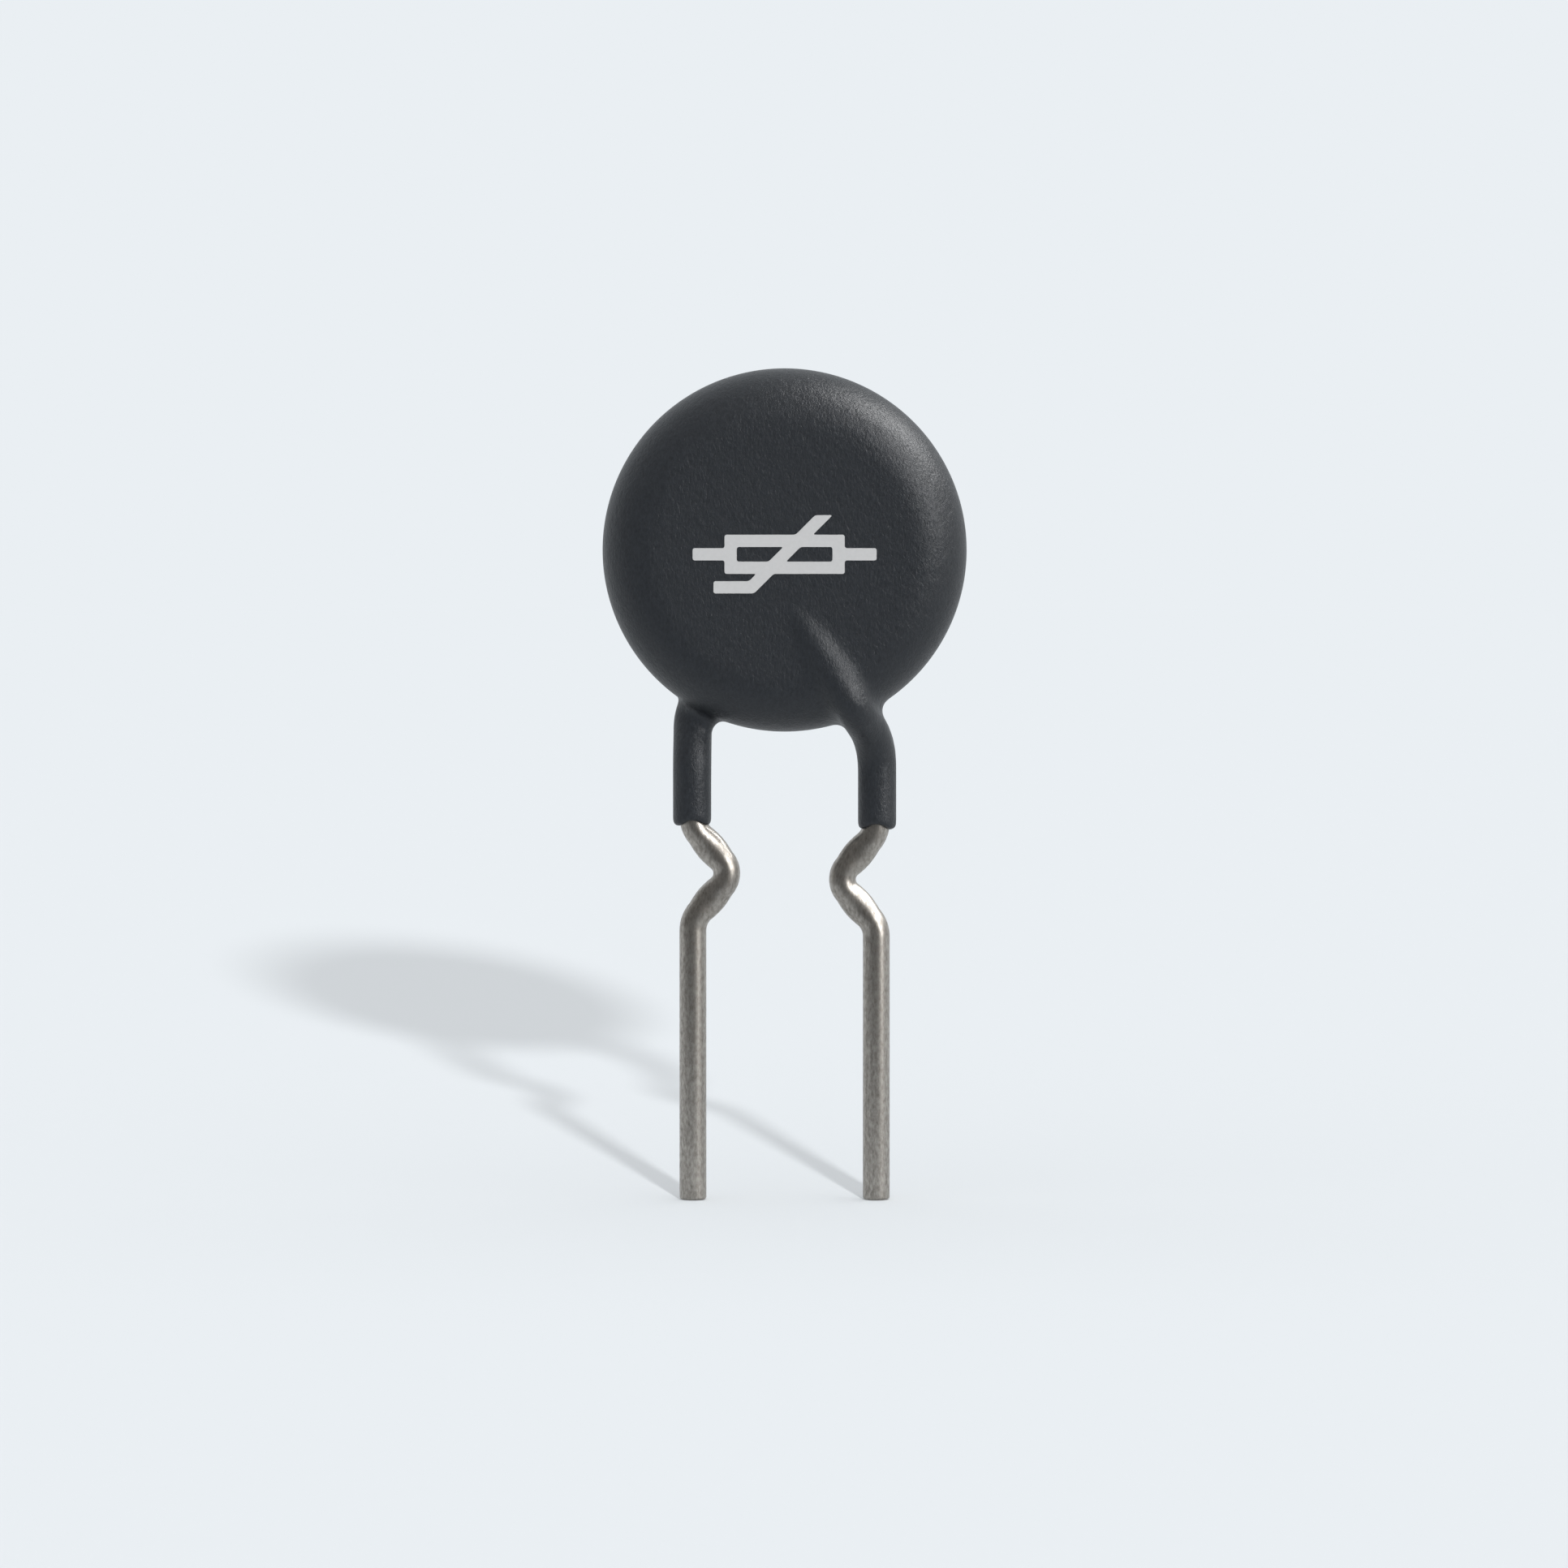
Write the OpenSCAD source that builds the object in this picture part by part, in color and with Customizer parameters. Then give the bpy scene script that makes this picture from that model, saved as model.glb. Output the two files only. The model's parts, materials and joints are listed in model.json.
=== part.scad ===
// Disc thermistor with two kinked wire leads, standing upright on its lead tips.
// X runs across the face, Y from the front face to the back, Z up. The origin is midway between the
// two lead tips, at their ends. The front lead stands at +X and the back lead at -X.

/* [Ceramic] */
// Diameter of the sintered ceramic disc
disc_d = 13; // [12:0.1:15]
// Thickness of the ceramic disc
disc_t = 2.4; // [1.8:0.1:3.2]
// Chamfer round both edges of the ceramic disc
disc_chamfer = 0.15; // [0.05:0.05:0.4]
// Height of the disc's centre above the lead tips
disc_z = 26.65; // [25.65:0.1:30.05]

/* [Electrodes] */
// Bare margin between the disc's edge and its electrode
electrode_margin = 0.4; // [0.2:0.05:1]
// Thickness of each fired silver electrode
electrode_t = 0.04; // [0.02:0.01:0.08]

/* [Coating] */
// Resin outside the disc's rim
rim_cover = 0.94; // [0.8:0.02:1.2]
// Resin over each electrode
face_cover = 0.96; // [0.8:0.02:1.2]
// Resin on the wires, all round
wire_cover = 0.24; // [0.14:0.02:0.4]
// Height of the front collar's end above the lead tips
front_collar_z = 15.2; // [14.8:0.05:16.4]
// Height of the back collar's end above the lead tips
back_collar_z = 15.35; // [14.8:0.05:16.4]
// Width of the arched notch in each collar's end
notch_w = 1; // [0.6:0.05:1.3]
// Height of the arched notch
notch_h = 0.27; // [0.1:0.01:0.4]
// How far the resin web beside each jog runs on past it, into the rim
web_reach = 1.2; // [1:0.1:1.6]

/* [Leads] */
// Distance between the two leads' axes
lead_pitch = 7.5; // [6.5:0.1:9]
// Diameter of the tinned wire
wire_d = 1.1; // [0.8:0.05:1.3]
// Chamfer at each cut wire tip
tip_chamfer = 0.12; // [0.05:0.01:0.2]
// How far each kink's apex stands in from the lead's axis
kink_step = 1.4; // [1:0.05:1.8]
// Slope of the kink's flanks, from the vertical
kink_angle = 40; // [35:1:45]
// Inner radius of the bend at the kink's apex
apex_inner_r = 0.1; // [0.05:0.05:0.4]
// Inner radius of the bends at the kink's two ends
kink_end_inner_r = 0.65; // [0.3:0.05:1]
// Height of the front lead's kink apex
front_kink_z = 13.15; // [12:0.05:13.4]
// Height of the back lead's kink apex
back_kink_z = 13.4; // [12:0.05:13.6]
// Slope at which each lead leaves the middle plane to reach its face
jog_angle = 45; // [42:1:50]
// Centreline radius of the jog's bends
jog_bend_r = 1.5; // [1.1:0.1:1.6]
// Height at which the front lead leaves the middle plane
front_jog_z = 18.8; // [18.4:0.05:19]
// Height at which the back lead leaves the middle plane
back_jog_z = 18; // [17.2:0.05:18.4]
// Lean of the front lead on its face, from the vertical
front_lean_angle = 31; // [26:1:34]
// Lean of the back lead on its face, from the vertical
back_lean_angle = 26; // [22:1:32]
// Length of the front lead that lies on its face, past the jog
front_face_run = 4.9; // [4.4:0.1:5.4]
// Length of the back lead that lies on its face, past the jog
back_face_run = 4.9; // [4.4:0.1:5.4]

/* [Solder] */
// Width of the solder mound along each wire
solder_w = 2; // [1.6:0.1:2.4]
// Film of solder between the wire and its electrode
solder_film = 0.02; // [0.01:0.01:0.05]
// Height of the solder mound above the electrode
solder_h = 0.7; // [0.5:0.05:0.75]
// Length of the solder mound
solder_l = 3.4; // [2.4:0.1:3.5]

/* [Printed mark] */
// Width of the printed symbol, stub to stub
mark_w = 7.5; // [6:0.1:8]
// Height of the printed symbol
mark_h = 3.2; // [3:0.1:3.6]
// Width of the symbol's rectangle
mark_box_w = 4.9; // [4:0.1:5.4]
// Height of the symbol's rectangle
mark_box_h = 1.6; // [1.4:0.1:1.8]
// Width of the printed strokes
mark_stroke = 0.5; // [0.3:0.05:0.6]
// Length of the foot on the diagonal stroke
mark_foot = 1.3; // [0.8:0.1:1.6]
// Thickness of the ink
ink_t = 0.03; // [0.02:0.01:0.06]

/* [Hidden] */
$fn = 72;

half_disc_t = disc_t / 2;
electrode_d = disc_d - 2 * electrode_margin;
electrode_face = half_disc_t + electrode_t;
wire_seat = electrode_face + solder_film + wire_d / 2;

coat_r = disc_d / 2 + rim_cover;
half_coat_t = electrode_face + face_cover;
collar_d = wire_d + 2 * wire_cover;
notch_r = (notch_w * notch_w / 4 + notch_h * notch_h) / (2 * notch_h);

apex_r = wire_d / 2 + apex_inner_r;
kink_end_r = wire_d / 2 + kink_end_inner_r;
kink_corner = kink_step + apex_r * (1 / cos(kink_angle) - 1);
kink_rise = kink_corner / tan(kink_angle);

// How much wider than the rod the ball is that closes each joint between a straight and a bend
joint_proud = 0.005;
// Reach of a cutting shape past the surface that it cuts
cut_past = 1;

function unit(v) = v / norm(v);
function last(c) = len(c) - 1;
function direction(c, i) = unit(c[i + 1] - c[i]);
function turn(c, i) = acos(direction(c, i - 1) * direction(c, i));
function is_corner(c, i) = i > 0 && i < last(c);
function trimmed(c, r, i) = is_corner(c, i) ? r[i] * tan(turn(c, i) / 2) : 0;

// Direction of a wire on the front: lean is its tilt towards -X, forward its tilt towards -Y.
function heading(lean, forward) = [-sin(lean) * cos(forward), -sin(forward), cos(lean) * cos(forward)];

// Corners of the front lead above its kink, where its jog starts with jog_lean and ends on the face.
function jog_corner(z) = [lead_pitch / 2, 0, z];
function seat_corner(z, jog_lean) = jog_corner(z) + heading(jog_lean, jog_angle) * wire_seat / sin(jog_angle);
function wire_end(seat, lean, run) = seat + heading(lean, 0) * run;

function upper_corners(z, jog_lean, lean, run) = [
  jog_corner(z), seat_corner(z, jog_lean), wire_end(seat_corner(z, jog_lean), lean, run)
];
function kink_corners(z) = [
  [lead_pitch / 2, 0, z - kink_rise],
  [lead_pitch / 2 - kink_corner, 0, z],
  [lead_pitch / 2, 0, z + kink_rise]
];
function foot(z) = [lead_pitch / 2, 0, z];
function half_as_deep(p) = [p.x, p.y / 2, p.z];
function web_corners(collar_z, upper, lean) = [
  foot(collar_z), upper[0], half_as_deep(upper[1]), half_as_deep(upper[1]) + heading(lean, 0) * web_reach
];

front_upper = upper_corners(front_jog_z, front_lean_angle, front_lean_angle, front_face_run);
back_upper = upper_corners(back_jog_z, 0, back_lean_angle, back_face_run);
front_lead_corners = concat([foot(tip_chamfer)], kink_corners(front_kink_z), front_upper);
back_lead_corners = concat([foot(tip_chamfer)], kink_corners(back_kink_z), back_upper);
lead_bends = [0, kink_end_r, apex_r, kink_end_r, jog_bend_r, jog_bend_r, 0];
front_sleeve_corners = concat([foot(front_collar_z)], front_upper);
back_sleeve_corners = concat([foot(back_collar_z)], back_upper);
sleeve_bends = [0, jog_bend_r, jog_bend_r, 0];
front_web = web_corners(front_collar_z, front_upper, front_lean_angle);
back_web = web_corners(back_collar_z, back_upper, back_lean_angle);

// Stands the children, drawn along +Z, at a point and along a direction.
module along(point, dir) {
  translate(point)
    rotate([0, acos(dir.z), atan2(dir.y, dir.x)])
      children();
}

// One bend of a rod, in the plane of the two directions that it joins.
module bend(point, dir_in, dir_out, r, d) {
  angle = acos(dir_in * dir_out);
  axis = unit(cross(dir_in, dir_out));
  outward = cross(dir_in, axis);
  start = point - dir_in * r * tan(angle / 2);
  centre = start - outward * r;
  multmatrix([
    [outward.x, dir_in.x, axis.x, centre.x],
    [outward.y, dir_in.y, axis.y, centre.y],
    [outward.z, dir_in.z, axis.z, centre.z],
    [0, 0, 0, 1]
  ])
    rotate_extrude(angle = angle)
      translate([r, 0])
        circle(d = d);
}

// A round rod through corners c, bent at radius r[i] round each inner corner.
module rod(c, r, d) {
  for (i = [0 : last(c) - 1]) {
    start = c[i] + direction(c, i) * trimmed(c, r, i);
    stop = c[i + 1] - direction(c, i) * trimmed(c, r, i + 1);
    along(start, direction(c, i))
      cylinder(d = d, h = norm(stop - start));
    if (is_corner(c, i))
      translate(start)
        sphere(d = d + 2 * joint_proud);
    if (is_corner(c, i + 1))
      translate(stop)
        sphere(d = d + 2 * joint_proud);
  }
  for (i = [1 : last(c) - 1])
    bend(c[i], direction(c, i - 1), direction(c, i), r[i], d);
}

module to_back() {
  rotate([0, 0, 180])
    children();
}

// Places what is drawn in the XY plane, standing along +Z, on a face with its axis towards -Y.
module on_front(y) {
  translate([0, -y, disc_z])
    rotate([90, 0, 0])
      children();
}

module lead_body(corners) {
  translate([corners[0].x, 0, 0])
    cylinder(d1 = wire_d - 2 * tip_chamfer, d2 = wire_d, h = tip_chamfer);
  rod(corners, lead_bends, wire_d);
}

// A long mound over the wire, with its flat side on the electrode.
module solder_mound(upper, lean) {
  mound_r = (solder_w * solder_w / 4 + solder_h * solder_h) / (2 * solder_h);
  end = upper[last(upper)];
  on_face = [end.x, -electrode_face, end.z];
  intersection() {
    translate(on_face)
      rotate([0, -lean, 0])
        translate([0, mound_r - solder_h, -solder_l])
          cylinder(r = mound_r, h = solder_l);
    translate([end.x - solder_l - solder_w, -electrode_face - solder_h - cut_past, disc_z - coat_r])
      cube([2 * (solder_l + solder_w), solder_h + cut_past, 2 * coat_r]);
  }
}

module front_wire() {
  lead_body(front_lead_corners);
}

module back_wire() {
  to_back()
    lead_body(back_lead_corners);
}

module front_mound() {
  solder_mound(front_upper, front_lean_angle);
}

module back_mound() {
  to_back()
    solder_mound(back_upper, back_lean_angle);
}

module electrode_disc() {
  on_front(half_disc_t)
    cylinder(d = electrode_d, h = electrode_t);
}

module disc_body() {
  rim = disc_d / 2;
  translate([0, 0, disc_z])
    rotate([90, 0, 0])
      rotate_extrude()
        polygon([
          [0, -half_disc_t],
          [rim - disc_chamfer, -half_disc_t],
          [rim, disc_chamfer - half_disc_t],
          [rim, half_disc_t - disc_chamfer],
          [rim - disc_chamfer, half_disc_t],
          [0, half_disc_t]
        ]);
}

// The resin round the disc: two flat faces and a full-round rim.
module coat_body() {
  flat_r = coat_r - half_coat_t;
  translate([0, 0, disc_z])
    rotate([90, 0, 0])
      rotate_extrude()
        union() {
          translate([0, -half_coat_t])
            square([flat_r, 2 * half_coat_t]);
          intersection() {
            translate([flat_r, 0])
              circle(r = half_coat_t);
            translate([flat_r, -half_coat_t - cut_past])
              square([half_coat_t + cut_past, 2 * (half_coat_t + cut_past)]);
          }
        }
}

// The resin on one wire, from the collar's notched end to the wire's end on the face. A web of the
// same width, half as deep as the wire's seat, fills the crevice between the jog and the rim.
module sleeve(corners, web) {
  collar_end = corners[0];
  difference() {
    union() {
      rod(corners, sleeve_bends, collar_d);
      rod(web, sleeve_bends, collar_d);
      translate(corners[last(corners)])
        sphere(d = collar_d);
    }
    translate([collar_end.x, collar_d, collar_end.z + notch_h - notch_r])
      rotate([90, 0, 0])
        cylinder(r = notch_r, h = 2 * collar_d);
  }
}

module coating() {
  color("#303337")
    difference() {
      union() {
        coat_body();
        sleeve(front_sleeve_corners, front_web);
        to_back()
          sleeve(back_sleeve_corners, back_web);
      }
      disc_body();
      electrode_disc();
      to_back()
        electrode_disc();
      front_mound();
      back_mound();
      front_wire();
      back_wire();
    }
}

module ceramic_disc() {
  color("#4a4440")
    disc_body();
}

module front_electrode() {
  color("#c9c9c6")
    electrode_disc();
}

module back_electrode() {
  color("#c9c9c6")
    to_back()
      electrode_disc();
}

module front_solder() {
  color("#9b9c9e")
    difference() {
      front_mound();
      front_wire();
    }
}

module back_solder() {
  color("#9b9c9e")
    difference() {
      back_mound();
      back_wire();
    }
}

module front_lead() {
  color("#a8a49d")
    front_wire();
}

module back_lead() {
  color("#a8a49d")
    back_wire();
}

// A resistor's rectangle with a stub at each side, crossed by a diagonal stroke that ends in a foot.
module mark_outline() {
  half_stroke = mark_stroke / 2;
  diagonal_x = mark_h / 2;
  difference() {
    square([mark_box_w, mark_box_h], center = true);
    square([mark_box_w - 2 * mark_stroke, mark_box_h - 2 * mark_stroke], center = true);
  }
  for (side = [-1, 1])
    translate([side * (mark_w + mark_box_w - mark_stroke) / 4, 0])
      square([(mark_w - mark_box_w + mark_stroke) / 2, mark_stroke], center = true);
  intersection() {
    rotate(45)
      square([2 * mark_h, mark_stroke], center = true);
    square([mark_w, mark_h], center = true);
  }
  translate([-diagonal_x - mark_foot, -mark_h / 2])
    square([mark_foot + half_stroke, mark_stroke]);
}

module printed_mark() {
  color("#cdcdce")
    on_front(half_coat_t)
      linear_extrude(ink_t)
        mark_outline();
}

coating();
ceramic_disc();
front_electrode();
back_electrode();
front_solder();
back_solder();
front_lead();
back_lead();
printed_mark();
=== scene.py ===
"""Looks of a disc thermistor: dipped resin body, kinked tinned wire leads and a printed symbol.

The pieces are modelled at one unit a millimetre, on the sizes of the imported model, and are brought
to metres when they are finished.
"""

import json
import math

import bpy
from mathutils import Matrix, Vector

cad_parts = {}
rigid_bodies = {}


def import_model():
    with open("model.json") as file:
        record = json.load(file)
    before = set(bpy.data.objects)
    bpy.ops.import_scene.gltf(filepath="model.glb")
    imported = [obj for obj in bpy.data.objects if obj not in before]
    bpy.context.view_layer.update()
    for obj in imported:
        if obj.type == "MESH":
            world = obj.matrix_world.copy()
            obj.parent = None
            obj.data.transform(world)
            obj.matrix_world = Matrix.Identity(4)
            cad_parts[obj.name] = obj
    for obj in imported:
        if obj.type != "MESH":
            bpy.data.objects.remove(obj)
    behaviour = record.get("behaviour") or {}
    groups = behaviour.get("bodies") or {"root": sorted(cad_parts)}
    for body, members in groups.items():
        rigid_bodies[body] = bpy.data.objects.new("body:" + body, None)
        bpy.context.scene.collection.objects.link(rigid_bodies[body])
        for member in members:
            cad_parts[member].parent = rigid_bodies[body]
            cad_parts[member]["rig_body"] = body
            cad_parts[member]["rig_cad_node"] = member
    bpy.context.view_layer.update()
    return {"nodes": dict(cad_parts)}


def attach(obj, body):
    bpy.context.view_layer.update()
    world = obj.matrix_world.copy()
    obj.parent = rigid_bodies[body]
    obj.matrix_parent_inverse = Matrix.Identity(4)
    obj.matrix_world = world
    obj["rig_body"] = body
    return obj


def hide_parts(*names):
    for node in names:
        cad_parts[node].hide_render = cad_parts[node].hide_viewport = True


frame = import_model()

bl_info = {
    "name": "Disc Thermistor",
    "version": (1, 0, 0),
    "blender": (4, 5, 0),
    "location": "View3D > Sidebar > Thermistor",
    "description": "Models the resin body, the wire leads and the printed symbol of a disc thermistor",
    "category": "Object",
}

MM = 0.001
BODY = "root"
# Vertices closer than this, in millimetres, are one.
MERGE = 0.0005


# ---- sizes and colours ----


def length(name, description, default):
    description += ", in millimetres"
    return bpy.props.FloatProperty(name=name, description=description, default=default)


def colour(name, description, default):
    description += ", as an sRGB hex value"
    return bpy.props.StringProperty(name=name, description=description, default=default)


class ThermistorSizes(bpy.types.PropertyGroup):
    disc_z: length("Disc centre height", "Height of the disc's centre above the lead tips", 26.65)
    coat_r: length("Body radius", "Radius of the coated disc", 7.44)
    coat_t: length("Body thickness", "Thickness of the coated disc", 4.4)
    collar_r: length("Collar radius", "Radius of the resin collar on each lead", 0.79)
    collar_out: length("Collar offset", "How far each collar stands outward of its wire", 0.03)
    front_collar_z: length("Front collar end", "Height of the front collar's end", 15.2)
    back_collar_z: length("Back collar end", "Height of the back collar's end", 15.35)
    ridge_r: length("Ridge radius", "Radius of the resin's ridge over the wire on each face", 1.0)
    lip_r: length("Collar lip", "Rounding of each collar's end", 0.2)
    notch_w: length("Notch width", "Width of the arched notch in each collar's end", 1.0)
    notch_h: length("Notch height", "Height of the arched notch", 0.27)
    crease_r: length("Crease radius", "Radius that the dipped resin leaves in its inner corners", 0.4)
    voxel: length("Voxel", "Edge of the cells in which the resin's pieces flow into one", 0.085)
    wire_r: length("Wire radius", "Radius of the tinned wire", 0.55)
    tip_r: length("Tip rounding", "Rounding of each cut wire tip", 0.12)
    apex_r: length("Apex bend", "Centreline radius of the bend at the kink's apex", 0.8)
    kink_end_r: length("Kink end bend", "Centreline radius of the bends at the kink's two ends", 1.2)
    jog_bend_r: length("Jog bend", "Centreline radius of the bend out of the middle plane", 2.4)
    seat_bend_r: length("Seat bend", "Centreline radius of the bend onto the disc's face", 1.5)
    ink_corner: length("Ink corner", "Rounding of the corners of the printed strokes", 0.09)


class ThermistorColours(bpy.types.PropertyGroup):
    resin: colour("Resin", "Dipped resin of the body", "#222529")
    wire: colour("Wire", "Tinned wire", "#b6b1aa")
    wire_dull: colour("Dull wire", "Duller grains of the tin", "#7c7771")
    ink: colour("Ink", "Printed ink", "#b0b1b2")
    ceramic: colour("Ceramic", "Sintered ceramic", "#4a4440")
    silver: colour("Silver", "Fired silver electrode", "#c9c9c6")
    solder: colour("Solder", "Tin solder", "#a9aaac")
    floor: colour("Floor", "Pale floor and backdrop", "#eaeff3")


def sizes():
    return bpy.context.scene.thermistor_sizes


def colours():
    return bpy.context.scene.thermistor_colours


# ---- modelling helpers ----


def deselect():
    if bpy.context.mode != "OBJECT":
        bpy.ops.object.mode_set(mode="OBJECT")
    bpy.ops.object.select_all(action="DESELECT")


def apply_place(piece):
    bpy.ops.object.transform_apply(location=True, rotation=True, scale=True)
    return piece


def named(name):
    piece = bpy.context.object
    piece.name = name
    piece.data.name = name
    return apply_place(piece)


def modified(piece, kind, **settings):
    modifier = piece.modifiers.new(kind.title(), kind)
    for key, value in settings.items():
        setattr(modifier, key, value)
    bpy.context.view_layer.objects.active = piece
    bpy.ops.object.modifier_apply(modifier=modifier.name)


def joined(pieces):
    deselect()
    for piece in pieces:
        piece.select_set(True)
    bpy.context.view_layer.objects.active = pieces[0]
    bpy.ops.object.join()
    return bpy.context.object


def cut_away(piece, cutter):
    modified(piece, "BOOLEAN", operation="DIFFERENCE", solver="EXACT", object=cutter)
    bpy.data.objects.remove(cutter)


def to_metres(piece):
    deselect()
    piece.select_set(True)
    bpy.context.view_layer.objects.active = piece
    piece.scale = (MM, MM, MM)
    return apply_place(piece)


def closed(piece):
    """Merges the seams, turns the faces outward and stops the script if the shell is open."""
    bpy.context.view_layer.objects.active = piece
    bpy.ops.object.mode_set(mode="EDIT")
    bpy.ops.mesh.select_all(action="SELECT")
    bpy.ops.mesh.remove_doubles(threshold=MERGE)
    bpy.ops.mesh.normals_make_consistent(inside=False)
    bpy.ops.mesh.select_all(action="DESELECT")
    bpy.ops.mesh.select_mode(type="EDGE")
    bpy.ops.mesh.select_non_manifold()
    bpy.ops.object.mode_set(mode="OBJECT")
    if any(edge.select for edge in piece.data.edges):
        raise RuntimeError(piece.name + " has an open or doubled edge")


def finished(piece, material, node, angle=40):
    to_metres(piece)
    piece.data.materials.clear()
    piece.data.materials.append(material)
    bpy.ops.object.shade_smooth_by_angle(angle=math.radians(angle))
    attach(piece, BODY)
    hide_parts(node)


def extruded(shift):
    bpy.ops.mesh.extrude_region_move(TRANSFORM_OT_translate={"value": shift})


def swept(name, corners, bends, radius, sides=48, step=9, pressed=()):
    """A round rod through the corners, bent at each inner one and flattened on its pressed legs."""
    corners = [Vector(c) for c in corners]
    heading = (corners[1] - corners[0]).normalized()
    deselect()
    bpy.ops.mesh.primitive_circle_add(
        vertices=sides,
        radius=radius,
        fill_type="NGON",
        location=corners[0],
        rotation=heading.to_track_quat("Z", "Y").to_euler(),
    )
    piece = named(name)
    bpy.ops.object.mode_set(mode="EDIT")
    bpy.ops.mesh.select_mode(type="FACE")
    bpy.ops.mesh.select_all(action="SELECT")
    here = corners[0]
    for i in range(1, len(corners)):
        heading = (corners[i] - corners[i - 1]).normalized()
        trim = 0
        if i < len(corners) - 1:
            onward = (corners[i + 1] - corners[i]).normalized()
            angle = heading.angle(onward)
            trim = bends[i - 1] * math.tan(angle / 2)
        stop = corners[i] - heading * trim
        if i in pressed:
            stride = (stop - here) / len(PRESSED_WIDTHS)
            width = 1
            for wider in PRESSED_WIDTHS:
                extruded(stride)
                here += stride
                growth = wider / width
                bpy.ops.transform.resize(value=(growth, 1 / growth, growth), center_override=here)
                width = wider
        else:
            extruded(stop - here)
        if trim:
            axis = heading.cross(onward).normalized()
            centre = stop + axis.cross(heading) * bends[i - 1]
            steps = max(2, round(math.degrees(angle) / step))
            bpy.ops.mesh.spin(steps=steps, angle=angle, center=centre, axis=-axis)
            stop = corners[i] + onward * trim
        here = stop
    bpy.ops.object.mode_set(mode="OBJECT")
    return piece


def round_foot(piece, z, radius, segments):
    """Rounds the edge of the rod's flat end at height z."""
    bpy.context.view_layer.objects.active = piece
    bpy.ops.object.mode_set(mode="EDIT")
    bpy.ops.mesh.select_all(action="DESELECT")
    bpy.ops.object.mode_set(mode="OBJECT")
    for polygon in piece.data.polygons:
        polygon.select = abs(polygon.center.z - z) < 1e-4 and abs(polygon.normal.z) > 0.99
    bpy.ops.object.mode_set(mode="EDIT")
    bpy.ops.mesh.select_mode(type="FACE")
    bpy.ops.mesh.bevel(offset=radius, segments=segments, affect="EDGES", clamp_overlap=True)
    bpy.ops.object.mode_set(mode="OBJECT")


# ---- material helpers ----


def linear(code):
    """An sRGB hex value as linear red, green, blue and alpha."""
    parts = [int(code[i : i + 2], 16) / 255 for i in (1, 3, 5)]
    return [c / 12.92 if c <= 0.04045 else ((c + 0.055) / 1.055) ** 2.4 for c in parts] + [1.0]


def toned(colour, share):
    """The colour, made this many times as bright."""
    return [c * share for c in colour[:3]] + [1]


def add(tree, kind, inputs=None, **settings):
    """Adds a shader node, sets it, and gives each named input a value or a link."""
    made = tree.nodes.new(kind)
    for key, value in settings.items():
        setattr(made, key, value)
    for key, value in (inputs or {}).items():
        if isinstance(value, bpy.types.NodeSocket):
            tree.links.new(value, made.inputs[key])
        else:
            made.inputs[key].default_value = value
    return made


def new_material(name):
    material = bpy.data.materials.new(name)
    material.use_nodes = True
    material.node_tree.nodes.clear()
    return material, material.node_tree


def place(tree, turn=(0, 0, 0), stretch=(1, 1, 1)):
    """Object coordinates, turned and stretched."""
    source = add(tree, "ShaderNodeTexCoord")
    return add(
        tree,
        "ShaderNodeMapping",
        {
            "Vector": source.outputs["Object"],
            "Rotation": [math.radians(a) for a in turn],
            "Scale": stretch,
        },
    ).outputs["Vector"]


def per_mm(size):
    """Texture scale at which a pattern's features are this many millimetres wide."""
    return 1 / (size * MM)


def backdrop_rays(tree, far):
    """1 for a camera ray, and for a reflected or refracted ray where far is 1."""
    rays = add(tree, "ShaderNodeLightPath")
    bounced = add(
        tree,
        "ShaderNodeMath",
        {0: rays.outputs["Is Glossy Ray"], 1: rays.outputs["Is Transmission Ray"]},
        operation="MAXIMUM",
    )
    beyond = add(tree, "ShaderNodeMath", {0: bounced.outputs[0], 1: far}, operation="MULTIPLY")
    either = {0: rays.outputs["Is Camera Ray"], 1: beyond.outputs[0]}
    return add(tree, "ShaderNodeMath", either, operation="MAXIMUM").outputs[0]


def surface(tree, shader):
    add(tree, "ShaderNodeOutputMaterial", {"Surface": shader})


# Dipped and cured resin: black, satin, with the fine wrinkled grain that a thick dip coat dries to.
def resin_material():
    material, tree = new_material("dipped_resin")
    wrinkled = place(tree, turn=(0, 40, 0), stretch=(1, 1, 0.5))
    wrinkle = add(
        tree,
        "ShaderNodeTexNoise",
        {"Vector": wrinkled, "Scale": per_mm(0.1), "Detail": 3, "Roughness": 0.65, "Distortion": 0.6},
    )
    pits = add(tree, "ShaderNodeTexNoise", {"Vector": place(tree), "Scale": per_mm(0.4), "Detail": 2})
    height = add(
        tree,
        "ShaderNodeMath",
        {0: wrinkle.outputs["Fac"], 1: pits.outputs["Fac"]},
        operation="ADD",
    )
    bump = add(
        tree,
        "ShaderNodeBump",
        {"Strength": 0.8, "Distance": 0.035 * MM, "Height": height.outputs[0]},
    )
    dark = linear(colours().resin)
    tone = add(
        tree,
        "ShaderNodeMix",
        {
            "Factor": wrinkle.outputs["Fac"],
            "A": toned(dark, 0.4),
            "B": toned(dark, 1.6),
        },
        data_type="RGBA",
    )
    shader = add(
        tree,
        "ShaderNodeBsdfPrincipled",
        {
            "Base Color": tone.outputs["Result"],
            "Roughness": 0.42,
            "Specular IOR Level": 0.4,
            "Normal": bump.outputs["Normal"],
        },
    )
    surface(tree, shader.outputs["BSDF"])
    return material


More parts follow.
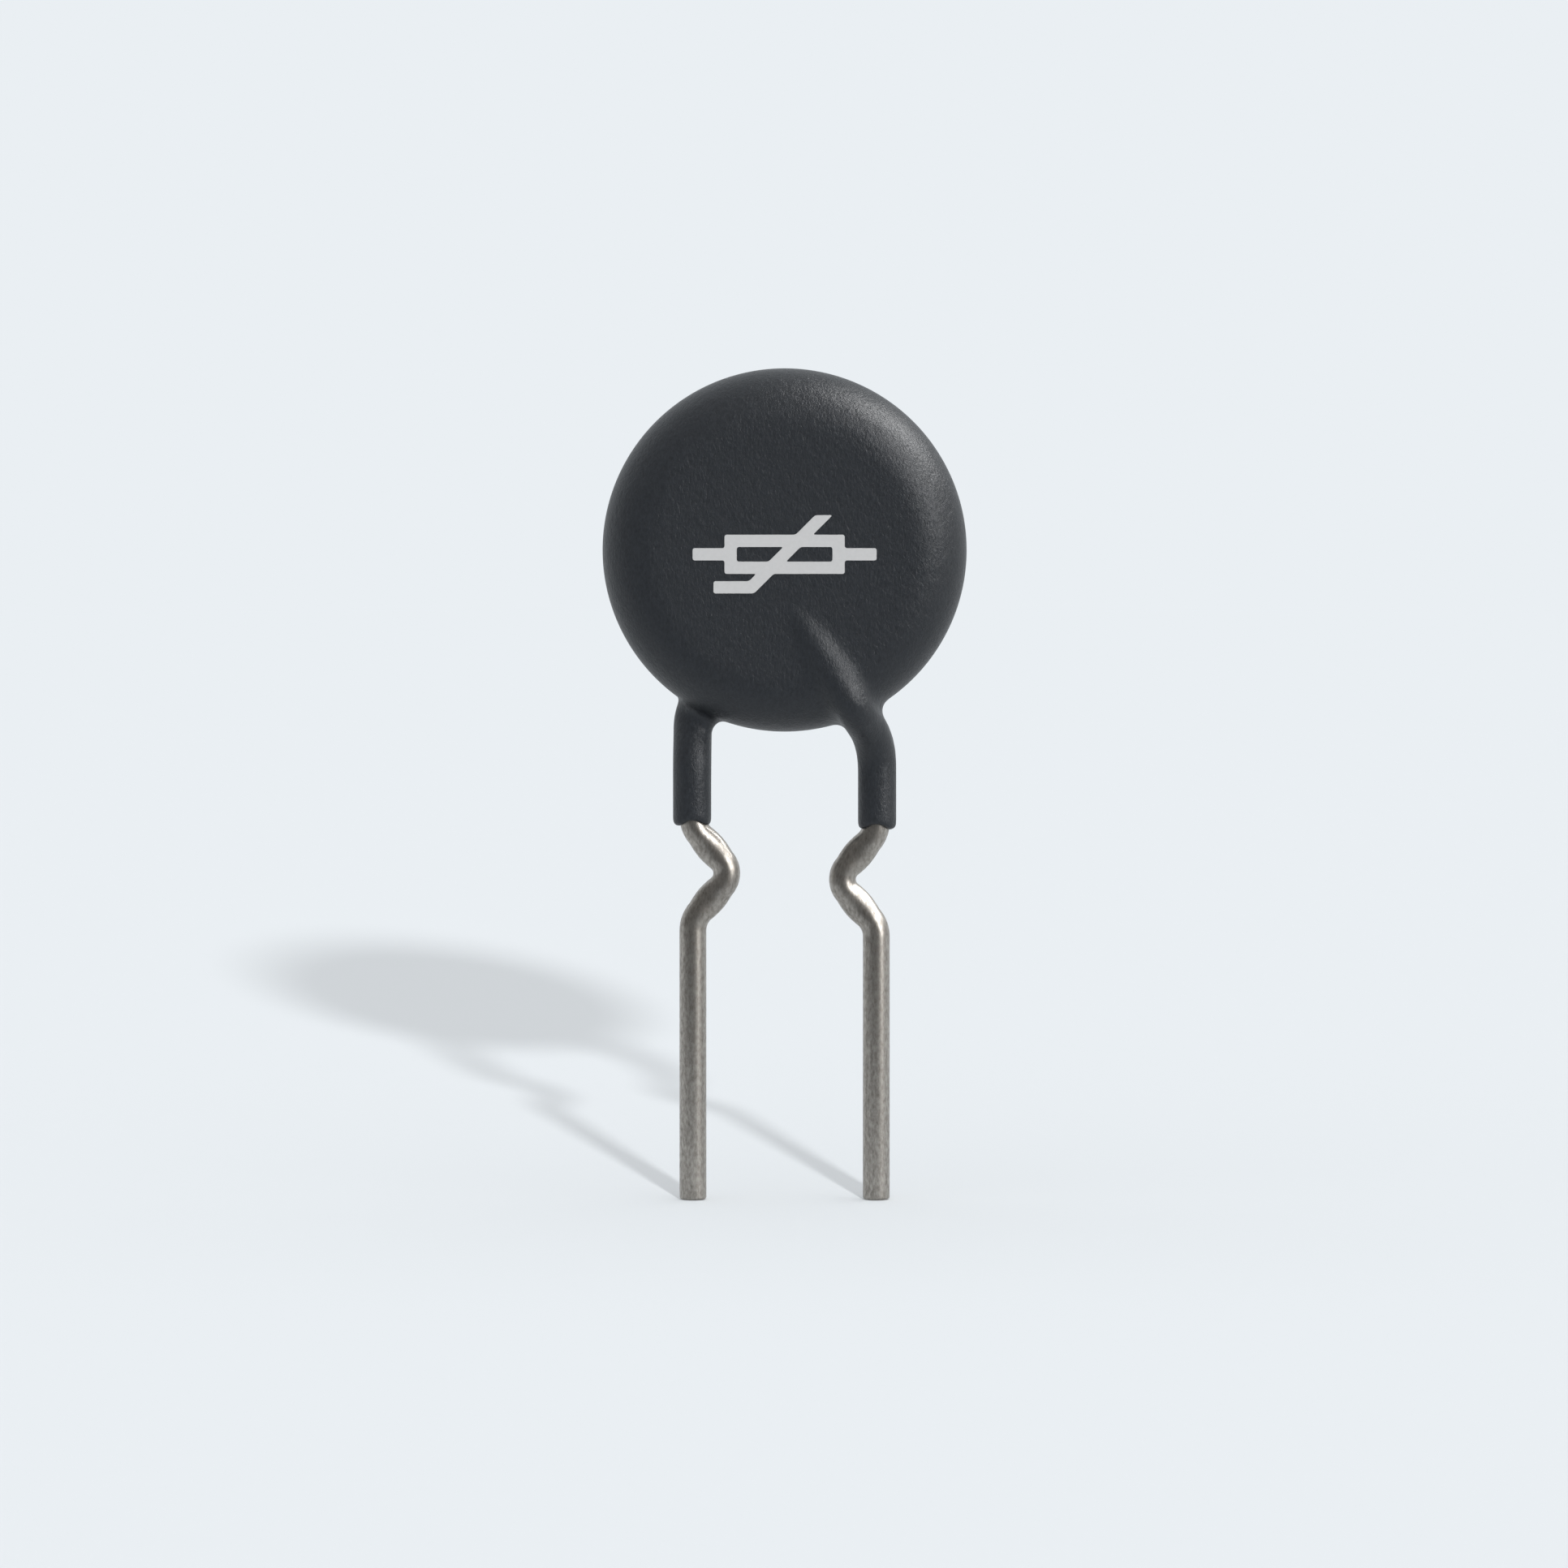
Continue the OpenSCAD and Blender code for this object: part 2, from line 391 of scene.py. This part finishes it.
# Tinned wire: warm grey, drawn and hot dipped, so its skin is bright with fine dull grains.
# The grains are drawn coarser than the real ones, so that they show.
def wire_material():
    material, tree = new_material("tinned_wire")
    along = place(tree, stretch=(1, 1, 0.4))
    grain = add(
        tree,
        "ShaderNodeTexNoise",
        {"Vector": along, "Scale": per_mm(0.1), "Detail": 3, "Roughness": 0.6},
    )
    spread = add(
        tree,
        "ShaderNodeMapRange",
        {"Value": grain.outputs["Fac"], "From Min": 0.25, "From Max": 0.75},
    )
    tone = add(
        tree,
        "ShaderNodeMix",
        {
            "Factor": spread.outputs["Result"],
            "A": linear(colours().wire_dull),
            "B": linear(colours().wire),
        },
        data_type="RGBA",
    )
    rough = add(
        tree,
        "ShaderNodeMapRange",
        {"Value": grain.outputs["Fac"], "From Min": 0.3, "From Max": 0.7, "To Min": 0.42, "To Max": 0.3},
    )
    bump = add(
        tree,
        "ShaderNodeBump",
        {"Strength": 0.3, "Distance": 0.008 * MM, "Height": grain.outputs["Fac"]},
    )
    shader = add(
        tree,
        "ShaderNodeBsdfPrincipled",
        {
            "Base Color": tone.outputs["Result"],
            "Metallic": 1,
            "Roughness": rough.outputs["Result"],
            "Normal": bump.outputs["Normal"],
        },
    )
    surface(tree, shader.outputs["BSDF"])
    return material


# Pad-printed ink: matt light grey, thin enough to take up a little of the grain under it.
def ink_material():
    material, tree = new_material("printed_ink")
    grain = add(
        tree,
        "ShaderNodeTexNoise",
        {"Vector": place(tree), "Scale": per_mm(0.12), "Detail": 2},
    )
    pale = linear(colours().ink)
    tone = add(
        tree,
        "ShaderNodeMix",
        {
            "Factor": grain.outputs["Fac"],
            "A": toned(pale, 0.95),
            "B": toned(pale, 1.05),
        },
        data_type="RGBA",
    )
    bump = add(
        tree,
        "ShaderNodeBump",
        {"Strength": 0.2, "Distance": 0.005 * MM, "Height": grain.outputs["Fac"]},
    )
    shader = add(
        tree,
        "ShaderNodeBsdfPrincipled",
        {
            "Base Color": tone.outputs["Result"],
            "Roughness": 0.7,
            "IOR": 1.45,
            "Normal": bump.outputs["Normal"],
        },
    )
    surface(tree, shader.outputs["BSDF"])
    return material


# Pressed and sintered metal oxide: dark, dry and evenly speckled.
def ceramic_material():
    material, tree = new_material("sintered_oxide")
    speck = add(
        tree,
        "ShaderNodeTexVoronoi",
        {"Vector": place(tree), "Scale": per_mm(0.15)},
    )
    base = linear(colours().ceramic)
    tone = add(
        tree,
        "ShaderNodeMix",
        {
            "Factor": speck.outputs["Distance"],
            "A": toned(base, 0.8),
            "B": toned(base, 1.3),
        },
        data_type="RGBA",
    )
    shader = add(
        tree,
        "ShaderNodeBsdfPrincipled",
        {"Base Color": tone.outputs["Result"], "Roughness": 0.8, "IOR": 1.6},
    )
    surface(tree, shader.outputs["BSDF"])
    return material


# Silver paste, screen printed and fired: a dull metal skin with the mesh's faint unevenness.
def silver_material():
    material, tree = new_material("fired_silver")
    uneven = add(
        tree,
        "ShaderNodeTexNoise",
        {"Vector": place(tree), "Scale": per_mm(0.3), "Detail": 3},
    )
    rough = add(
        tree,
        "ShaderNodeMapRange",
        {"Value": uneven.outputs["Fac"], "To Min": 0.45, "To Max": 0.65},
    )
    shader = add(
        tree,
        "ShaderNodeBsdfPrincipled",
        {
            "Base Color": linear(colours().silver),
            "Metallic": 1,
            "Roughness": rough.outputs["Result"],
        },
    )
    surface(tree, shader.outputs["BSDF"])
    return material


# Tin solder, flowed and set: satin, slightly rippled.
def solder_material():
    material, tree = new_material("tin_solder")
    ripple = add(
        tree,
        "ShaderNodeTexNoise",
        {"Vector": place(tree), "Scale": per_mm(0.5), "Detail": 1},
    )
    bump = add(
        tree,
        "ShaderNodeBump",
        {"Strength": 0.3, "Distance": 0.02 * MM, "Height": ripple.outputs["Fac"]},
    )
    shader = add(
        tree,
        "ShaderNodeBsdfPrincipled",
        {
            "Base Color": linear(colours().solder),
            "Metallic": 1,
            "Roughness": 0.35,
            "Normal": bump.outputs["Normal"],
        },
    )
    surface(tree, shader.outputs["BSDF"])
    return material


# ---- routes of the wires ----

# Corners of each lead, from its tip to its end on the disc's face.
FRONT_ROUTE = [
    (3.75, 0, 0),
    (3.75, 0, 11.245),
    (2.11, 0, 13.15),
    (3.75, 0, 15.055),
    (3.75, 0, 18.8),
    (2.818, -1.81, 20.352),
    (1.541, -1.81, 22.477),
]
BACK_ROUTE = [
    (-3.75, 0, 0),
    (-3.75, 0, 11.495),
    (-2.11, 0, 13.4),
    (-3.75, 0, 15.305),
    (-3.75, 0, 18),
    (-3.75, 1.81, 19.81),
    (-2.418, 1.81, 22.54),
]
# Legs of a route that the forming tool presses, and the width of the pressed wire along such a leg.
PRESSED_LEGS = (2, 3)
PRESSED_WIDTHS = (1.07, 1.12, 1.14, 1.12, 1.07, 1)
# How far along the lean each ridge's height and fade are set, and how deep its axis lies there.
RIDGE = [(0.4, 1.6), (1.05, 1.49), (1.95, 1.2), (2.4, 0.95)]
# Centreline radius of the ridge's bends between them.
RIDGE_BEND = 6
# Share of the lean at which the collar's round rod ends, under the ridge.
COLLAR_SHARE = 0.5
# Where the web beside each jog starts above the collar's end, and how far it runs up the lean.
WEB_START = 0.6
WEB_REACH = 1.2
# How far the eased bands of the resin reach from the face's edge and from a ridge's line.
SHOULDER_REACH = 1.1
CREST_REACH = 2.6
# Point that the camera looks at, in metres, its distance from there and the angle that it looks down at.
CAMERA_AIM = (-0.000025, 0, 0.01706)
CAMERA_DISTANCE = 1.068
CAMERA_DOWN = 5


# ---- operators ----


class THERMISTOR_OT_body(bpy.types.Operator):
    """Model the dipped resin body with its collars and ridges"""

    bl_idname = "thermistor.body"
    bl_label = "Resin Body"

    def disc(self, size):
        """A flat core with a full-round rim."""
        upright = {"location": (0, 0, size.disc_z), "rotation": (math.radians(90), 0, 0)}
        rim_r = size.coat_t / 2
        deselect()
        bpy.ops.mesh.primitive_torus_add(
            major_segments=180,
            minor_segments=72,
            major_radius=size.coat_r - rim_r,
            minor_radius=rim_r,
            **upright,
        )
        rim = named("resin_body")
        deselect()
        bpy.ops.mesh.primitive_cylinder_add(
            vertices=180,
            radius=size.coat_r - rim_r,
            depth=size.coat_t,
            **upright,
        )
        return joined([rim, named("core")])

    def sleeve(self, name, route, collar_z, size):
        """The resin on one wire: its collar and jog, a web beside the jog, and the ridge over the face."""
        jog, seat, end = [Vector(c) for c in route[4:7]]
        jog.x += math.copysign(size.collar_out, jog.x)
        foot = Vector((jog.x, 0, collar_z))
        bends = [size.jog_bend_r, size.seat_bend_r]
        collar = swept(name, [foot, jog, seat, seat.lerp(end, COLLAR_SHARE)], bends, size.collar_r)
        round_foot(collar, collar_z, size.lip_r, 4)
        crotch = Vector((seat.x, seat.y / 2, seat.z))
        lean = (end - seat).normalized()
        web_route = [foot + Vector((0, 0, WEB_START)), jog, crotch, crotch + lean * WEB_REACH]
        web = swept(name + "_web", web_route, bends, size.collar_r)
        crest = []
        for share, depth in RIDGE:
            point = seat.lerp(end, share)
            crest.append(Vector((point.x, math.copysign(depth, end.y), point.z)))
        ridge = swept(name + "_ridge", crest, [RIDGE_BEND] * 2, size.ridge_r)
        return collar, [web, ridge]

    def notch(self, x, z, size):
        arch_r = (size.notch_w**2 / 4 + size.notch_h**2) / (2 * size.notch_h)
        deselect()
        bpy.ops.mesh.primitive_cylinder_add(
            vertices=64,
            radius=arch_r,
            depth=4 * size.collar_r,
            location=(x, 0, z + size.notch_h - arch_r),
            rotation=(math.radians(90), 0, 0),
        )
        return named("notch")

    def flow(self, body, size):
        """Eases the shoulder of each face and both ridges, as a thick dip coat does."""
        shoulder = body.vertex_groups.new(name="shoulder")
        crest = body.vertex_groups.new(name="crest")
        face_r = size.coat_r - size.coat_t / 2
        lines = []
        for route in (FRONT_ROUTE, BACK_ROUTE):
            foot, end = Vector(route[5]), Vector(route[6])
            lines.append((foot, foot.lerp(end, RIDGE[-1][0])))
        for vertex in body.data.vertices:
            point = vertex.co
            out = math.hypot(point.x, point.z - size.disc_z)
            if abs(point.y) > size.coat_t / 4:
                ease = 1 - abs(out - face_r) / SHOULDER_REACH
                if ease > 0:
                    shoulder.add([vertex.index], ease, "REPLACE")
                foot, top = lines[point.y > 0]
                run = top - foot
                share = min(max((point - foot).dot(run) / run.length_squared, 0), 1)
                gap = (point - foot - run * share).length
                ease = min(1, CREST_REACH - gap)
                if ease > 0:
                    crest.add([vertex.index], ease, "REPLACE")
        modified(body, "SMOOTH", factor=0.5, iterations=60, vertex_group="shoulder")
        modified(body, "SMOOTH", factor=0.5, iterations=24, vertex_group="crest")

    def execute(self, context):
        size = sizes()
        parts = [self.disc(size)]
        for name, route, z in (
            ("front_sleeve", FRONT_ROUTE, size.front_collar_z),
            ("back_sleeve", BACK_ROUTE, size.back_collar_z),
        ):
            collar, fill = self.sleeve(name, route, z, size)
            cut_away(collar, self.notch(route[4][0], z, size))
            parts += [collar, *fill]
        body = joined(parts)
        modified(body, "REMESH", mode="VOXEL", voxel_size=size.voxel)
        modified(body, "DISPLACE", strength=size.crease_r, mid_level=0)
        modified(body, "REMESH", mode="VOXEL", voxel_size=size.voxel)
        modified(body, "DISPLACE", strength=-size.crease_r, mid_level=0)
        modified(body, "REMESH", mode="VOXEL", voxel_size=size.voxel)
        self.flow(body, size)
        modified(body, "SMOOTH", factor=0.5, iterations=3)
        closed(body)
        finished(body, resin_material(), "coating", angle=80)
        return {"FINISHED"}


class THERMISTOR_OT_leads(bpy.types.Operator):
    """Model the two kinked wire leads"""

    bl_idname = "thermistor.leads"
    bl_label = "Wire Leads"

    def execute(self, context):
        size = sizes()
        bends = [size.kink_end_r, size.apex_r, size.kink_end_r, size.jog_bend_r, size.seat_bend_r]
        material = wire_material()
        for name, route, node in (
            ("front_wire", FRONT_ROUTE, "front_lead"),
            ("back_wire", BACK_ROUTE, "back_lead"),
        ):
            wire = swept(name, route, bends, size.wire_r, sides=64, step=5, pressed=PRESSED_LEGS)
            round_foot(wire, 0, size.tip_r, 4)
            closed(wire)
            finished(wire, material, node)
        return {"FINISHED"}


class THERMISTOR_OT_mark(bpy.types.Operator):
    """Model the printed circuit symbol, with the soft corners of pad-printed ink"""

    bl_idname = "thermistor.mark"
    bl_label = "Printed Symbol"

    def execute(self, context):
        size = sizes()
        deselect()
        node = frame["nodes"]["printed_mark"]
        mark = node.copy()
        mark.data = node.data.copy()
        mark.name = "ink_symbol"
        mark.parent = None
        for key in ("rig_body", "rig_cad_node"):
            del mark[key]
        bpy.context.scene.collection.objects.link(mark)
        mark.select_set(True)
        bpy.context.view_layer.objects.active = mark
        mark.scale = (1 / MM,) * 3
        apply_place(mark)
        bpy.ops.object.mode_set(mode="EDIT")
        bpy.ops.mesh.select_all(action="SELECT")
        bpy.ops.mesh.remove_doubles(threshold=MERGE)
        bpy.ops.mesh.dissolve_limited(angle_limit=math.radians(2))
        bpy.ops.mesh.select_all(action="DESELECT")
        bpy.ops.object.mode_set(mode="OBJECT")
        points = [v.co for v in mark.data.vertices]
        for edge in mark.data.edges:
            run = points[edge.vertices[1]] - points[edge.vertices[0]]
            edge.select = abs(run.y) > 0.99 * run.length
        bpy.ops.object.mode_set(mode="EDIT")
        bpy.ops.mesh.select_mode(type="EDGE")
        bpy.ops.mesh.bevel(offset=size.ink_corner, segments=4, affect="EDGES")
        bpy.ops.object.mode_set(mode="OBJECT")
        closed(mark)
        finished(mark, ink_material(), "printed_mark", angle=30)
        return {"FINISHED"}


class THERMISTOR_OT_inner(bpy.types.Operator):
    """Give the sealed inner pieces their ceramic, silver and solder"""

    bl_idname = "thermistor.inner"
    bl_label = "Inner Pieces"

    def execute(self, context):
        silver = silver_material()
        solder = solder_material()
        for name, material in (
            ("ceramic_disc", ceramic_material()),
            ("front_electrode", silver),
            ("back_electrode", silver),
            ("front_solder", solder),
            ("back_solder", solder),
        ):
            node = frame["nodes"][name]
            node.data.materials.clear()
            node.data.materials.append(material)
        return {"FINISHED"}


class THERMISTOR_OT_stage(bpy.types.Operator):
    """Set up the pale floor, the studio light and the camera"""

    bl_idname = "thermistor.stage"
    bl_label = "Stage"

    def floor(self):
        deselect()
        bpy.ops.mesh.primitive_plane_add(size=4, location=(0, 0, 0))
        floor = named("floor")
        material, tree = new_material("pale_floor")
        pale = linear(colours().floor)
        centre = add(tree, "ShaderNodeTexCoord")
        # The paper throws little light back on the object, and ends before the camera.
        depth = add(tree, "ShaderNodeSeparateXYZ", {0: centre.outputs["Object"]})
        near_edge = {"Value": depth.outputs["Y"], "From Min": -0.06, "From Max": 0}
        seen = backdrop_rays(tree, add(tree, "ShaderNodeMapRange", near_edge).outputs["Result"])
        tone = add(
            tree,
            "ShaderNodeMix",
            {"Factor": seen, "A": toned(pale, 0.12), "B": toned(pale, 0.87)},
            data_type="RGBA",
        )
        paper = add(tree, "ShaderNodeBsdfDiffuse", {"Color": tone.outputs["Result"]})
        glow = add(tree, "ShaderNodeEmission", {"Color": pale})
        clear = add(tree, "ShaderNodeBsdfTransparent")
        far = add(tree, "ShaderNodeMixShader", {0: seen, 1: clear.outputs[0], 2: glow.outputs["Emission"]})
        span = add(
            tree,
            "ShaderNodeVectorMath",
            {0: centre.outputs["Object"]},
            operation="LENGTH",
        )
        fade = add(
            tree,
            "ShaderNodeMapRange",
            {"Value": span.outputs["Value"], "From Min": 0.11, "From Max": 0.3},
            interpolation_type="SMOOTHSTEP",
        )
        mixed = add(
            tree,
            "ShaderNodeMixShader",
            {0: fade.outputs["Result"], 1: paper.outputs["BSDF"], 2: far.outputs["Shader"]},
        )
        surface(tree, mixed.outputs["Shader"])
        floor.data.materials.append(material)

    def world(self):
        world = bpy.data.worlds.new("studio")
        bpy.context.scene.world = world
        world.use_nodes = True
        tree = world.node_tree
        tree.nodes.clear()
        backdrop = add(tree, "ShaderNodeBackground", {"Color": linear(colours().floor)})
        heading = add(tree, "ShaderNodeTexCoord")
        depth = add(tree, "ShaderNodeSeparateXYZ", {0: heading.outputs["Generated"]})
        # The room is dim behind the camera, and the backdrop stands on the far side.
        far_side = {"Value": depth.outputs["Y"], "From Min": 0, "From Max": 0.5}
        seen = backdrop_rays(tree, add(tree, "ShaderNodeMapRange", far_side).outputs["Result"])
        pale = add(
            tree,
            "ShaderNodeMapRange",
            {"Value": depth.outputs["Y"], "From Min": -1, "From Max": 0.2, "To Min": 0.22, "To Max": 0.42},
        )
        room = add(tree, "ShaderNodeBackground", {"Strength": pale.outputs["Result"]})
        mixed = add(tree, "ShaderNodeMixShader", {0: seen, 1: room.outputs[0], 2: backdrop.outputs[0]})
        add(tree, "ShaderNodeOutputWorld", {"Surface": mixed.outputs["Shader"]})

    def lamp(self, name, direction, power, spread, diffuse=True, glossy=True):
        """A far, round, soft light, even over the floor. Spread is its width in degrees."""
        data = bpy.data.lights.new(name, "SUN")
        data.energy = power
        data.angle = math.radians(spread)
        lamp = bpy.data.objects.new(name, data)
        bpy.context.scene.collection.objects.link(lamp)
        lamp.rotation_euler = Vector(direction).to_track_quat("Z", "Y").to_euler()
        lamp.visible_diffuse = diffuse
        lamp.visible_glossy = glossy

    def camera(self):
        data = bpy.data.cameras.new("camera")
        data.lens = 600
        data.sensor_width = 36
        data.clip_start = 0.01
        data.clip_end = 10
        camera = bpy.data.objects.new("camera", data)
        bpy.context.scene.collection.objects.link(camera)
        down = math.radians(CAMERA_DOWN)
        away = Vector((0, -math.cos(down), math.sin(down)))
        camera.location = Vector(CAMERA_AIM) + away * CAMERA_DISTANCE
        camera.rotation_euler = away.to_track_quat("Z", "Y").to_euler()
        bpy.context.scene.camera = camera

    def execute(self, context):
        self.floor()
        self.world()
        self.lamp("key", (0.557, -3.31, 1), 3.0, 2.5, glossy=False)
        self.lamp("top", (0, -0.1, 1), 1.85, 120, glossy=False)
        self.lamp("upper_right", (0.69, 0.03, 0.72), 4.6, 34, diffuse=False)
        self.lamp("right", (0.73, -0.61, 0.29), 1.9, 34, diffuse=False)
        self.camera()
        context.scene.view_settings.view_transform = "Standard"
        return {"FINISHED"}


class THERMISTOR_PT_panel(bpy.types.Panel):
    bl_idname = "THERMISTOR_PT_panel"
    bl_label = "Thermistor"
    bl_space_type = "VIEW_3D"
    bl_region_type = "UI"
    bl_category = "Thermistor"

    def draw(self, context):
        for group in (sizes(), colours()):
            box = self.layout.box()
            for key in group.__annotations__:
                box.prop(group, key)
        for operator in OPERATORS:
            self.layout.operator(operator.bl_idname)


OPERATORS = (
    THERMISTOR_OT_body,
    THERMISTOR_OT_leads,
    THERMISTOR_OT_mark,
    THERMISTOR_OT_inner,
    THERMISTOR_OT_stage,
)
CLASSES = (ThermistorSizes, ThermistorColours, *OPERATORS, THERMISTOR_PT_panel)


def register():
    for entry in CLASSES:
        bpy.utils.register_class(entry)
    bpy.types.Scene.thermistor_sizes = bpy.props.PointerProperty(type=ThermistorSizes)
    bpy.types.Scene.thermistor_colours = bpy.props.PointerProperty(type=ThermistorColours)


def unregister():
    del bpy.types.Scene.thermistor_colours
    del bpy.types.Scene.thermistor_sizes
    for entry in reversed(CLASSES):
        bpy.utils.unregister_class(entry)


def main():
    register()
    bpy.ops.thermistor.body()
    bpy.ops.thermistor.leads()
    bpy.ops.thermistor.mark()
    bpy.ops.thermistor.inner()
    bpy.ops.thermistor.stage()


if __name__ == "__main__":
    main()
